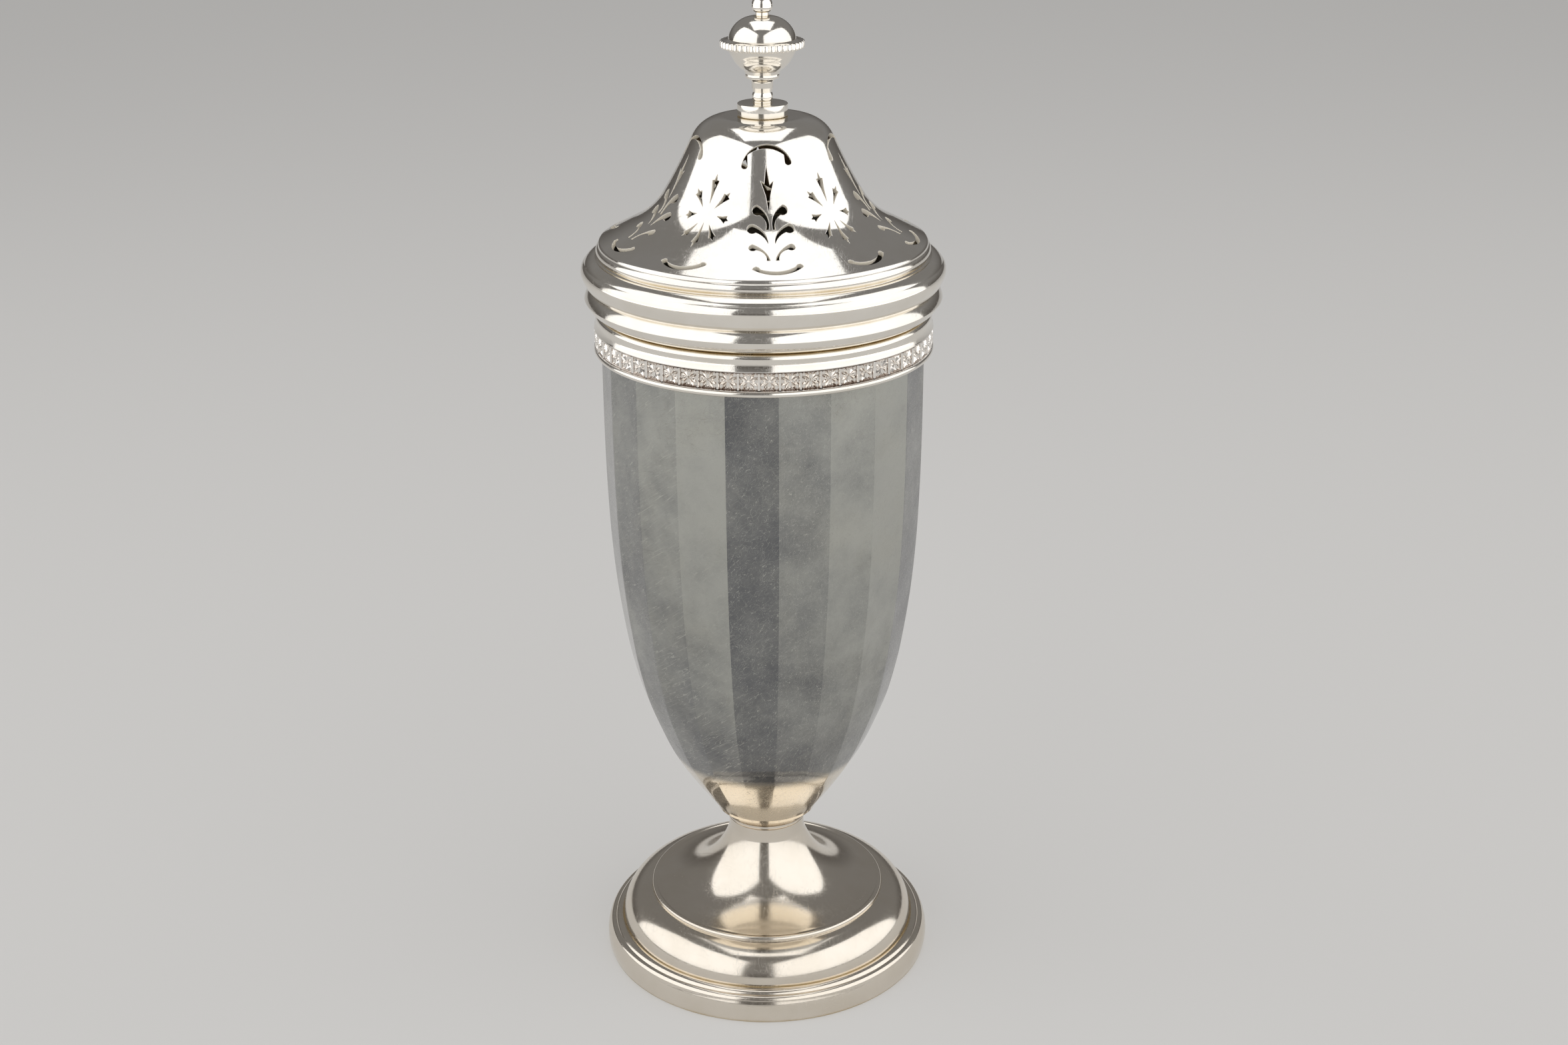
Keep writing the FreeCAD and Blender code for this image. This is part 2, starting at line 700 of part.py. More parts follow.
gadroon_cut = finial_gadroon.newObject("PartDesign::Pocket", "gadroon_cut")
gadroon_cut.Profile = gadroon_outline
gadroon_cut.Type = "ThroughAll"
gadroon_cut.Reversed = True
gadroon_row = finial_gadroon.newObject("PartDesign::PolarPattern", "gadroon_row")
gadroon_row.Originals = [gadroon_cut]
gadroon_row.Axis = (gadroon_outline, ["N_Axis"])
gadroon_row.Angle = 360
gadroon_row.setExpression("Occurrences", bound("gadroon_count"))
finial_gadroon.Tip = gadroon_row

# Finial crown: the polished dome above the gadroons
crown_share = 0.186
finial_crown = lathe("finial_crown", (
    ("0", crown_base),
    ("crown_radius", crown_base),
    ("knop_neck_radius", knop_base, crown_share),
    ("0", knop_base),
))

# Finial knop: the bud at the very top
knop_under_share = 0.1
knop_over_share = 0.19
finial_knop = lathe("finial_knop", (
    ("0", knop_base),
    ("knop_neck_radius", knop_base),
    ("knop_radius", knop_base + " + knop_waist", knop_under_share),
    ("knop_tip_radius", knop_top, knop_over_share),
    ("0", knop_top),
))

PIECES = (
    foot_rim, foot, foot_collar, bowl, band_wire, band_strip, shoulder_moulding, mouth_ring,
    cover_rim, cover_bead, cover_sleeve, cover_dome, finial_washer, finial_peg,
    finial_disc, finial_stem, finial_cup, finial_gadroon, finial_crown, finial_knop,
)

doc.recompute()
for item in doc.Objects:
    if "Invalid" in item.State or "Error" in item.State:
        raise RuntimeError("%s did not build: %s" % (item.Name, item.State))
for piece in PIECES:
    if piece.Shape.isNull() or not piece.Shape.isValid() or len(piece.Shape.Solids) != 1:
        raise RuntimeError("%s is not one sound solid" % piece.Label)
if finial_gadroon.Shape.Volume >= uncut_volume:
    raise RuntimeError("the gadroon cuts missed the flange")

os.makedirs("parts", exist_ok=True)
for piece in PIECES:
    piece.Shape.exportStep("parts/%s.step" % piece.Label)
    print("%-18s volume %9.2f  z %7.2f to %7.2f" % (
        piece.Label, piece.Shape.Volume, piece.Shape.BoundBox.ZMin, piece.Shape.BoundBox.ZMax,
    ))
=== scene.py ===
import math

import bpy
import numpy as np
from mathutils import Matrix, Vector


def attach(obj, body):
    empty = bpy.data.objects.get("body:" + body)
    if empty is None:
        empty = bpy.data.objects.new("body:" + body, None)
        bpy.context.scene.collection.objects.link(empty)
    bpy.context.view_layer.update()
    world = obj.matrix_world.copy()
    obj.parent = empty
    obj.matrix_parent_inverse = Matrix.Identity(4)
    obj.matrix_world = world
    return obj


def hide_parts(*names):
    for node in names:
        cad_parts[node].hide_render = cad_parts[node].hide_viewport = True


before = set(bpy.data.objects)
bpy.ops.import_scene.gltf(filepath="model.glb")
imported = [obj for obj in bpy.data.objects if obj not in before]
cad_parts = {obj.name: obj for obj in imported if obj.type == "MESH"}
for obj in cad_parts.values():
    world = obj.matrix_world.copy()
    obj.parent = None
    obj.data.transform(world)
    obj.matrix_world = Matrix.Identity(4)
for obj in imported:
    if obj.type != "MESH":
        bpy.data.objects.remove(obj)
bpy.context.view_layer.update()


# The table is a plain pale sheet. Part of its colour is a glow that the camera and the mirrors
# see, so that it stays pale without throwing more light up at the silver.
table_size = 8.0
table_colour = (0.66, 0.65, 0.635, 1.0)
glow_share = 0.5


def shading(tree, kind, settings=(), **inputs):
    """Shader node with its settings. Each input is a socket to link or a plain value, and is
    named by its label, or by its number after an underscore."""
    made = tree.nodes.new(kind)
    for key, setting in dict(settings).items():
        setattr(made, key, setting)
    for key, given in inputs.items():
        number = key[1:]
        socket = made.inputs[int(number) if number.isdigit() else key.replace("_", " ")]
        if isinstance(given, bpy.types.NodeSocket):
            tree.links.new(given, socket)
        else:
            socket.default_value = given
    return made


def maths(tree, operation, first, second=0.0, third=0.0, clamp=False):
    """Result of a maths node."""
    settings = {"operation": operation, "use_clamp": clamp}
    return shading(tree, "ShaderNodeMath", settings, _0=first, _1=second, _2=third).outputs[0]


bpy.ops.object.select_all(action="DESELECT")
bpy.ops.mesh.primitive_plane_add(size=table_size, location=(0, 0, 0))
table = bpy.context.object
table.name = "table"
table_finish = bpy.data.materials.new("table_finish")
table_finish.use_nodes = True
tree = table_finish.node_tree
sheet = tree.nodes["Principled BSDF"]
sheet.inputs["Base Color"].default_value = table_colour
sheet.inputs["Roughness"].default_value = 0.9
rays = shading(tree, "ShaderNodeLightPath").outputs
seen = maths(tree, "MAXIMUM", rays["Is Camera Ray"], rays["Is Glossy Ray"])
seen = maths(tree, "MAXIMUM", seen, rays["Is Transmission Ray"])
glow = shading(tree, "ShaderNodeEmission", Color=table_colour)
mixed = shading(
    tree, "ShaderNodeMixShader",
    _0=maths(tree, "MULTIPLY", seen, glow_share), _1=sheet.outputs[0], _2=glow.outputs[0],
)
tree.links.new(mixed.outputs[0], tree.nodes["Material Output"].inputs["Surface"])
table.data.materials.append(table_finish)


# Soft studio light: two wide softboxes stand left and right of the camera and a smaller one hangs
# above. They show in the silver as its bright windows, in a dim room that is darkest low down.
radiance = 1.1
side_distance = 0.6
side_level = 0.6
side_height = 1.15


def softbox(name, place, aim, width, height):
    """Rectangular light at a place, turned to face a point. Each is as bright as the others."""
    lamp = bpy.data.lights.new(name, "AREA")
    lamp.shape = "RECTANGLE"
    lamp.size = width
    lamp.size_y = height
    lamp.energy = radiance * math.pi * width * height
    holder = bpy.data.objects.new(name, lamp)
    holder.location = place
    holder.rotation_euler = (Vector(aim) - Vector(place)).to_track_quat("-Z", "Y").to_euler()
    bpy.context.scene.collection.objects.link(holder)


for name, azimuth, width in (("left_softbox", -67, 1.34), ("right_softbox", 61, 1.76)):
    turn = math.radians(azimuth)
    place = (side_distance * math.sin(turn), -side_distance * math.cos(turn), side_level)
    softbox(name, place, (0, 0, side_level), width, side_height)
softbox("top_softbox", (0, 0.1, 0.76), (0, 0.1, 0), 0.48, 0.6)

world = bpy.data.worlds.new("studio")
bpy.context.scene.world = world
world.use_nodes = True
tree = world.node_tree
toward = shading(tree, "ShaderNodeTexCoord").outputs["Generated"]
rise = shading(tree, "ShaderNodeSeparateXYZ", Vector=toward).outputs["Z"]
room = shading(tree, "ShaderNodeValToRGB", Fac=rise)
stops = ((0.02, (0.1, 0.092, 0.085, 1)), (0.3, (0.2, 0.195, 0.19, 1)))
for stop, (level, colour) in zip(room.color_ramp.elements, stops):
    stop.position = level
    stop.color = colour
tree.links.new(room.outputs["Color"], tree.nodes["Background"].inputs["Color"])


# The camera stands in front, a little above the finial, and looks down at the bowl, with the lens
# and the tilt that the rings of the foot and the mouldings have in the photograph.
MM = 0.001
focal_pixels = 3100.0
photo_width = 2353.0
camera_distance = 367.6 * MM
camera_height = 237.6 * MM
camera_pitch = math.radians(21.72)
camera_yaw = math.radians(0.57)
camera_roll = math.radians(-0.11)

view = bpy.data.cameras.new("view")
view.sensor_fit = "HORIZONTAL"
view.sensor_width = 36.0
view.lens = focal_pixels / photo_width * view.sensor_width
view.clip_start = 0.01
eye = bpy.data.objects.new("view", view)
bpy.context.scene.collection.objects.link(eye)
forward = Vector((
    math.sin(camera_yaw) * math.cos(camera_pitch),
    math.cos(camera_yaw) * math.cos(camera_pitch),
    -math.sin(camera_pitch),
))
level_right = Vector((math.cos(camera_yaw), -math.sin(camera_yaw), 0))
level_up = level_right.cross(forward)
tilted_right = level_right * math.cos(camera_roll) + level_up * math.sin(camera_roll)
tilted_up = level_up * math.cos(camera_roll) - level_right * math.sin(camera_roll)
eye.matrix_world = Matrix((
    (tilted_right.x, tilted_up.x, -forward.x, 0),
    (tilted_right.y, tilted_up.y, -forward.y, -camera_distance),
    (tilted_right.z, tilted_up.z, -forward.z, camera_height),
    (0, 0, 0, 1),
))
bpy.context.scene.camera = eye
bpy.context.scene.view_settings.view_transform = "Standard"


# Foot rim: the heavy cast wire that the caster stands on, with a swelling wall and two reeds.
# It is turned, so it is drawn as an outline and spun about the caster's axis.
crease_angle = math.radians(28)
full_turn = 2 * math.pi


def outline(*corners, step=1.2, bend=5):
    """Corners (radius, height) in mm as points in metres. A third number on a corner is the rise
    of the arc that leads to it, as a share of its chord, swelling to the right of the way there.
    An arc has a point every bend degrees and, on top of that, every step mm."""
    points = []
    for index, corner in enumerate(corners):
        end = Vector((corner[0], corner[1]))
        start = Vector((corners[index - 1][0], corners[index - 1][1]))
        rise = corner[2] if len(corner) > 2 else 0
        if rise:
            chord = end - start
            sweep = 4 * math.atan(2 * rise)
            steps = max(3, int(abs(sweep) / math.radians(bend)) + int(chord.length / step))
            radius = chord.length / (2 * math.sin(sweep / 2))
            normal = Vector((chord.y, -chord.x)).normalized()
            centre = (start + end) / 2 - normal * radius * math.cos(sweep / 2)
            arm = start - centre
            for step_number in range(1, steps):
                turn = sweep * step_number / steps
                points.append(centre + Vector((
                    arm.x * math.cos(turn) - arm.y * math.sin(turn),
                    arm.x * math.sin(turn) + arm.y * math.cos(turn),
                )))
        points.append(end)
    return [(point.x * MM, point.y * MM) for point in points]


def only(piece):
    """Selects one object and makes it active."""
    bpy.ops.object.select_all(action="DESELECT")
    bpy.context.view_layer.objects.active = piece
    piece.select_set(True)


def placed(name, points, edges, faces):
    """New object from points in metres."""
    mesh = bpy.data.meshes.new(name)
    mesh.from_pydata(points, edges, faces)
    piece = bpy.data.objects.new(name, mesh)
    bpy.context.scene.collection.objects.link(piece)
    return piece


def turned(name, points, turns=256):
    """Closed outline spun about the caster's axis into a piece with outward faces."""
    edges = [(index, (index + 1) % len(points)) for index in range(len(points))]
    piece = placed(name, [(radius, 0, height) for radius, height in points], edges, [])
    only(piece)
    bpy.ops.object.mode_set(mode="EDIT")
    bpy.ops.mesh.select_all(action="SELECT")
    bpy.ops.mesh.spin(steps=turns, angle=full_turn, center=(0, 0, 0), axis=(0, 0, 1))
    bpy.ops.mesh.select_all(action="SELECT")
    bpy.ops.mesh.remove_doubles(threshold=1e-7)
    bpy.ops.mesh.dissolve_degenerate(threshold=1e-7)
    bpy.ops.mesh.select_all(action="SELECT")
    bpy.ops.mesh.normals_make_consistent(inside=False)
    bpy.ops.object.mode_set(mode="OBJECT")
    bpy.ops.object.shade_smooth_by_angle(angle=crease_angle)
    return piece


def vector_maths(tree, operation, first, second=(0, 0, 0)):
    """Outputs of a vector maths node: a vector, and a value where the result is a number."""
    settings = {"operation": operation}
    return shading(tree, "ShaderNodeVectorMath", settings, _0=first, _1=second).outputs


def noise(tree, place, scale, detail, roughness):
    """Value of a noise."""
    return shading(
        tree, "ShaderNodeTexNoise", Vector=place, Scale=scale, Detail=detail, Roughness=roughness,
    ).outputs[0]


def ramp(tree, value, low, high, start=0.0, end=1.0):
    """Value spread from start at low to end at high, smoothly."""
    settings = {"interpolation_type": "SMOOTHSTEP"}
    return shading(
        tree, "ShaderNodeMapRange", settings, _0=value, _1=low, _2=high, _3=start, _4=end,
    ).outputs[0]


def blend(tree, factor, first, second, kind="MIX"):
    """Colour between two colours, or one times the other."""
    settings = {"data_type": "RGBA", "blend_type": kind}
    return shading(tree, "ShaderNodeMix", settings, Factor=factor, _6=first, _7=second).outputs[2]


def around_axis(tree):
    """Where a point of the surface lies: its place, the level part of it, its height and turn."""
    place = shading(tree, "ShaderNodeTexCoord").outputs["Object"]
    x, y, height = shading(tree, "ShaderNodeSeparateXYZ", Vector=place).outputs
    level = shading(tree, "ShaderNodeCombineXYZ", X=x, Y=y).outputs[0]
    return place, level, height, maths(tree, "ARCTAN2", y, x)


def scratches(tree, place, turns, length, width, amount, seed):
    """Mask of fine straight scratches that run one way, each about as long and wide as given."""
    turned_place = shading(
        tree, "ShaderNodeMapping", Vector=place, Rotation=turns,
        Location=(seed, 0.37 * seed, 0.71 * seed),
    ).outputs[0]
    stretch = (1 / length, 1 / width, 1 / width)
    stretched = vector_maths(tree, "MULTIPLY", turned_place, stretch)[0]
    middle = maths(tree, "SUBTRACT", noise(tree, stretched, 0.35, 1.0, 0.6), 0.5)
    return ramp(tree, maths(tree, "ABSOLUTE", middle), 0.0, amount, 1.0, 0.0)


def silver(
    name, colour, tarnish, roughness, lines=1.0, wear=1.0, dirt=1.0, dirt_reach=1.2,
    soft_edge=0.0, sawn=None,
):
    """Turned and polished silver: fine rings from the spinning, scratches from years of cleaning,
    a slight haze, and tarnish in the hollows. Where sawn is given, it is the colour of the walls
    that the saw left, a matte cut paled to near white as a painted highlight, and the faces that
    look inwards are tarnished."""
    finish = bpy.data.materials.new(name)
    finish.use_nodes = True
    tree = finish.node_tree
    shader = tree.nodes["Principled BSDF"].inputs
    shader["Metallic"].default_value = 1.0
    place, level, height, turn = around_axis(tree)
    radius = vector_maths(tree, "LENGTH", level)["Value"]
    ring = shading(
        tree, "ShaderNodeCombineXYZ", X=maths(tree, "MULTIPLY", radius, 4000.0),
        Y=maths(tree, "MULTIPLY", height, 4000.0), Z=maths(tree, "MULTIPLY", turn, 1.5),
    ).outputs[0]
    rings = noise(tree, ring, 1.0, 3.0, 0.65)
    haze = noise(tree, place, 90.0, 4.0, 0.6)
    speckle = noise(tree, place, 1500.0, 2.0, 0.7)
    fine = scratches(tree, place, (0.3, 0.5, 1.1), 0.006, 0.00035, 0.012, 1.3)
    cross = scratches(tree, place, (1.2, -0.6, 0.4), 0.009, 0.0005, 0.010, 4.1)
    rub = scratches(tree, place, (0.1, 1.4, -0.8), 0.004, 0.0003, 0.014, 7.7)
    marks = maths(tree, "ADD", maths(tree, "ADD", fine, cross), rub, clamp=True)
    openness = shading(
        tree, "ShaderNodeAmbientOcclusion", {"samples": 8}, Distance=dirt_reach * MM,
    ).outputs["AO"]
    hollow = ramp(tree, openness, 0.25, 0.8, 1.0, 0.0)
    hollow = maths(tree, "MULTIPLY", hollow, dirt, clamp=True)
    patchy = ramp(tree, haze, 0.3, 0.65, 0.5, 1.0)
    patches = maths(tree, "MULTIPLY", hollow, patchy, clamp=True)
    if sawn:
        facing = shading(tree, "ShaderNodeTexCoord").outputs["Normal"]
        outward = vector_maths(tree, "NORMALIZE", level)[0]
        inward = vector_maths(tree, "DOT_PRODUCT", facing, outward)["Value"]
        lined = ramp(tree, inward, -0.35, -0.15, 1.0, 0.0)
        patches = maths(tree, "MAXIMUM", patches, lined)
        wall = shading(tree, "ShaderNodeAttribute", {"attribute_name": "sawn"}).outputs["Fac"]
        dulled = maths(tree, "MULTIPLY", maths(tree, "MAXIMUM", lined, wall), 0.8)
        tree.links.new(maths(tree, "SUBTRACT", 1.0, dulled), shader["Metallic"])
        patches = maths(tree, "MULTIPLY", patches, maths(tree, "SUBTRACT", 1.0, wall))
    warmth = ramp(tree, haze, 0.35, 0.7, 0.0, 0.5)
    mixed = blend(tree, warmth, colour, (0.9, 0.88, 0.84, 1), "MULTIPLY")
    mixed = blend(tree, patches, mixed, tarnish)
    # The walls of the holes take the sawn colour, a pale cream that paints a highlight on the matte
    # saw cuts.
    if sawn:
        mixed = blend(tree, wall, mixed, sawn)
    tree.links.new(mixed, shader["Base Color"])
    scratched = maths(tree, "MULTIPLY", marks, 0.12 * wear)
    dull = maths(tree, "ADD", scratched, maths(tree, "MULTIPLY", patches, 0.25))
    worn = ramp(tree, haze, 0.3, 0.7, roughness * 0.8, roughness * 1.25)
    dull = maths(tree, "ADD", dull, worn, clamp=True)
    dull = maths(tree, "ADD", dull, maths(tree, "MULTIPLY", rings, 0.06 * lines))
    if sawn:
        dull = maths(tree, "ADD", dull, maths(tree, "MULTIPLY", wall, 0.4), clamp=True)
    tree.links.new(dull, shader["Roughness"])
    grain = maths(tree, "MULTIPLY", speckle, 0.35 * wear)
    relief = maths(tree, "MULTIPLY_ADD", rings, 1.0 * lines, grain)
    relief = maths(tree, "SUBTRACT", relief, maths(tree, "MULTIPLY", marks, 0.15 * wear))
    bump = shading(tree, "ShaderNodeBump", Strength=1.0, Distance=0.0000035, Height=relief)
    if soft_edge:
        bevel = shading(tree, "ShaderNodeBevel", {"samples": 4}, Radius=soft_edge * MM)
        tree.links.new(bevel.outputs[0], bump.inputs["Normal"])
    tree.links.new(bump.outputs[0], shader["Normal"])
    return finish


def fit(piece, body, finish, slot, *nodes):
    """The piece takes its finish, rides on its body and stands for its CAD nodes."""
    piece.data.materials.clear()
    piece.data.materials.append(finish)
    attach(piece, body)
    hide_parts(*nodes)


brass_tarnish = (0.62, 0.5, 0.3, 1)
bright_silver = silver("bright_silver", (0.9, 0.865, 0.805, 1), brass_tarnish, 0.07, lines=0.7)
foot_silver = silver("foot_silver", (0.8, 0.74, 0.655, 1), brass_tarnish, 0.1)
foot_rim = turned("foot_rim_piece", outline(
    (28.4, 0.0), (32.2, 0.0), (32.4, 0.2), (32.2, 4.7, 0.096), (31.1, 5.5, 0.2),
    (29.4, 6.0, 0.2), (28.4, 6.0),
))
fit(foot_rim, "caster_body", foot_silver, "bright_silver", "foot_rim")


# Foot: spun sheet, a quarter round above the rim, a small ledge and one long hollow sweep to the
# neck. Its underside follows at a sheet's thickness.
foot = turned("foot_piece", outline(
    (28.4, 6.0, -0.157), (29.4, 6.0), (24.1, 12.35, 0.19), (23.5, 12.45), (23.45, 12.75),
    (22.6, 13.25, 0.3), (21.9, 13.2, -0.1), (7.5, 25.6, -0.15), (7.5, 26.6), (6.5, 26.6),
    (6.5, 25.6), (22.9, 12.2, 0.159), step=0.6,
))
fit(foot, "caster_body", foot_silver, "bright_silver", "foot")


# Collar: a solid plug with a small bead, soldered between the foot's neck and the bowl.
# It has the foot's warmer silver.
bowl_base = 29.2
collar = turned("collar_piece", outline(
    (0.0, 26.6), (7.5, 26.6), (7.5, 28.0), (7.7, bowl_base, 0.2), (0.0, bowl_base),
), turns=128)
fit(collar, "caster_body", foot_silver, "bright_silver", "foot_collar")


# Bowl: raised from sheet, then planished into twenty upright panels that fade out underneath.
# The skin is spun as a round and its wall is pressed flat between the creases of the panels,
# with its points drawn towards the creases.
panels = 20
panel_turn = math.radians(4.8)
half_panel = math.pi / panels
steps_per_panel = 16
crease_crowding = 0.55
bowl_rows = 72
bowl_rise = 104.8
bowl_top = 134.0
bowl_floor = 31.0
bowl_wall = 1.0
seat_radius = 29.95
# Height, radius at the creases and flatness of the panels.
BOWL_WALL = (
    (bowl_base, 8.2, 0.0), (33.5, 11.55, 0.0), (40.3, 16.3, 0.5), (46.1, 19.6, 0.7),
    (51.9, 22.1, 0.8), (57.5, 24.2, 0.9), (62.8, 25.6, 1.0), (68.3, 26.75, 1.0),
    (79.4, 28.35, 1.0), (90.2, 29.3, 1.0), (101.0, 29.75, 1.0), (111.5, 29.93, 1.0),
    (122.0, seat_radius, 1.0), (bowl_top, seat_radius, 1.0),
)


def wall_at(level):
    """Corner radius of the bowl and flatness of its panels at a height, on a smooth curve."""
    rows = BOWL_WALL
    index = max(i for i in range(len(rows) - 1) if rows[i][0] <= level + 1e-9)
    before = rows[max(index - 1, 0)]
    low, high = rows[index], rows[index + 1]
    after = rows[min(index + 2, len(rows) - 1)]
    span = high[0] - low[0]
    share = (level - low[0]) / span
    leave = (high[1] - before[1]) / (high[0] - before[0]) * span
    arrive = (after[1] - low[1]) / (after[0] - low[0]) * span
    square = share * share
    cube = square * share
    radius = (
        (2 * cube - 3 * square + 1) * low[1] + (cube - 2 * square + share) * leave
        + (3 * square - 2 * cube) * high[1] + (cube - square) * arrive
    )
    return min(radius, seat_radius), low[2] + (high[2] - low[2]) * share


levels = [bowl_base + bowl_rise * (row / bowl_rows) ** 1.25 for row in range(bowl_rows + 1)]
outside = [(wall_at(level)[0], level) for level in levels]
inside = [
    (wall_at(level)[0] - bowl_wall, level) for level in levels[::-3] if level > bowl_floor + 1.5
]
floor_corner = (inside[-1][0] - 0.9, bowl_floor)
bowl_points = [(0.0, bowl_base)] + outside + inside + [floor_corner, (0.0, bowl_floor)]
bowl = turned(
    "bowl_piece", [(r * MM, z * MM) for r, z in bowl_points], turns=panels * steps_per_panel,
)
for vertex in bowl.data.vertices:
    reach = math.hypot(vertex.co.x, vertex.co.y)
    level = vertex.co.z / MM
    azimuth = math.atan2(vertex.co.x, -vertex.co.y)
    panel = round((azimuth - half_panel) / (2 * half_panel))
    across = (azimuth - half_panel) / half_panel - 2 * panel
    if abs(across) > 1e-6:
        across = math.copysign(abs(across) ** crease_crowding, across)
    corner_radius, flatness = wall_at(min(max(level, bowl_base), bowl_top))
    on_wall = reach / MM > corner_radius - 0.5 and level > bowl_base + 0.1
    if on_wall:
        chord = math.cos(half_panel) / math.cos(across * half_panel)
        reach *= 1 - flatness * (1 - chord)
    turn = panel_turn + half_panel * (2 * panel + 1 + across)
    vertex.co.x = reach * math.sin(turn)
    vertex.co.y = -reach * math.cos(turn)
only(bowl)
bpy.ops.object.shade_smooth_by_angle(angle=crease_angle)

# The panels are a darker worn silver, darkened further as painted shade for the dark surroundings
# that they mirror, under a thin sharp reflection. Each has its own depth of tone, a painted
# reflection of the different light that each facet catches, smeared and scratched. The round under
# them is polished and carries a painted cream reflection of the foot, and the inside is paler.
lining_colour = (0.78, 0.75, 0.69, 1)
# Cream of the round below the panels: polished silver with a painted reflection of the foot.
polished_and_foot_reflection_colour = (0.88, 0.77, 0.6, 1)
panels_per_radian = panels / full_turn
# The panels' base colour is worn silver, made darker as painted shade for the dark surroundings
# that the panels mirror.
panel_silver = silver(
    "panel_silver", (0.27, 0.276, 0.266, 1), brass_tarnish, 0.4, lines=0.1, wear=2.0, dirt=0.6,
)
tree = panel_silver.node_tree
shader = tree.nodes["Principled BSDF"].inputs
place, level, height, turn = around_axis(tree)
# Each panel gets its own depth of tone in a fixed random order. This is a painted reflection of the
# different light that each facet catches, stronger higher up, with real smears and hairlines added
# on top.
first_panel = (math.pi / 2 - panel_turn) * panels / full_turn
number = maths(tree, "MULTIPLY_ADD", turn, panels_per_radian, first_panel)
number = maths(tree, "FLOORED_MODULO", maths(tree, "FLOOR", number), panels)
worn_and_painted_tone = maths(tree, "FRACT", maths(tree, "MULTIPLY_ADD", number, 0.247, 0.41))
smear = maths(tree, "MULTIPLY_ADD", noise(tree, place, 55.0, 6.0, 0.68), 1.1, -0.35)
painted_reflection_depth = ramp(tree, height, 0.036, 0.09, 0.1, 0.6)
worn_and_painted_tone = maths(tree, "MULTIPLY_ADD", worn_and_painted_tone, painted_reflection_depth, smear)
hairlines = scratches(tree, place, (0.7, 0.2, 0.9), 0.005, 0.00025, 0.008, 2.9)
more_hairlines = scratches(tree, place, (-0.4, 0.9, 0.3), 0.007, 0.0003, 0.008, 6.1)
hairlines = maths(tree, "ADD", hairlines, more_hairlines)
worn_and_painted_tone = maths(tree, "MULTIPLY_ADD", hairlines, 0.5, worn_and_painted_tone)
painted_reflection_tint = shading(
    tree, "ShaderNodeCombineColor", Red=ramp(tree, worn_and_painted_tone, 0.05, 0.85, 0.3, 1.6),
    Green=ramp(tree, worn_and_painted_tone, 0.05, 0.85, 0.31, 1.58), Blue=ramp(tree, worn_and_painted_tone, 0.05, 0.85, 0.36, 1.5),
).outputs[0]
worn_and_painted_colour = blend(tree, 1.0, shader["Base Color"].links[0].from_socket, painted_reflection_tint, "MULTIPLY")
facing = shading(tree, "ShaderNodeTexCoord").outputs["Normal"]
inward = vector_maths(tree, "DOT_PRODUCT", facing, level)["Value"]
worn_and_painted_colour = blend(tree, ramp(tree, inward, -0.008, -0.004, 1.0, 0.0), worn_and_painted_colour, lining_colour)
# Below the panels the colour turns to a painted cream reflection of the foot, and the polished
# round is also less rough.
polish_and_painted_reflection = ramp(tree, height, 0.0425, 0.0455, 0.9, 0.0)
tree.links.new(blend(tree, polish_and_painted_reflection, worn_and_painted_colour, polished_and_foot_reflection_colour), shader["Base Color"])
worn = shader["Roughness"].links[0].from_socket
sharper = maths(tree, "MULTIPLY", polish_and_painted_reflection, 0.33)
tree.links.new(maths(tree, "SUBTRACT", worn, sharper, clamp=True), shader["Roughness"])
shader["Coat Weight"].default_value = 1.0
shader["Coat Roughness"].default_value = 0.06
shader["Coat IOR"].default_value = 1.85
fit(bowl, "caster_body", panel_silver, "panel_silver", "bowl")


# Band wire: the half round wire under the milled band.
# It is soldered to the bowl and edges the band from below.
band_wire = turned("band_wire_piece", outline(
    (seat_radius, 126.45), (31.0, 126.45), (31.0, 127.5, 0.3), (seat_radius, 127.5),
))
fit(band_wire, "caster_body", bright_silver, "bright_silver", "band_wire")


# Milled band: a strip of square cells, each with four pairs of leaves about a small boss, between
# upright ribs, and a row of fine nicks along both of its edges.
cells = 54
cell_turn = math.radians(1.7)
strip_base = 127.5
strip_height = 3.6
ground_radius = 30.8
cell_radius = 31.0
edge_radius = 31.2
cell_width = full_turn * cell_radius / cells
relief_limit = 0.4
nicks = 13
band_tarnish = (0.26, 0.17, 0.12, 1)
band_strip = turned("band_strip_piece", outline(
    (seat_radius, strip_base), (edge_radius, strip_base), (edge_radius, strip_base + 0.12),
    (ground_radius, strip_base + 0.22), (ground_radius, strip_base + 3.38),
    (edge_radius, strip_base + 3.48), (edge_radius, strip_base + strip_height),
    (seat_radius, strip_base + strip_height),
))


def cell_part(across, up, out, size, turn=0.0):
    """Scales, turns and places the part just added, in mm: across the cell, up it and out of it."""
    part = bpy.context.object
    part.scale = size
    part.rotation_euler = (0, 0, turn)
    part.location = (across, up, out)
    bpy.ops.object.transform_apply(location=True, rotation=True, scale=True)
    return part


def four_sided():
    """Adds the four-sided point that leaves, small points and nicks are made from."""
    bpy.ops.mesh.primitive_cone_add(
        vertices=4, radius1=1, radius2=0, depth=1, end_fill_type="NOTHING",
    )


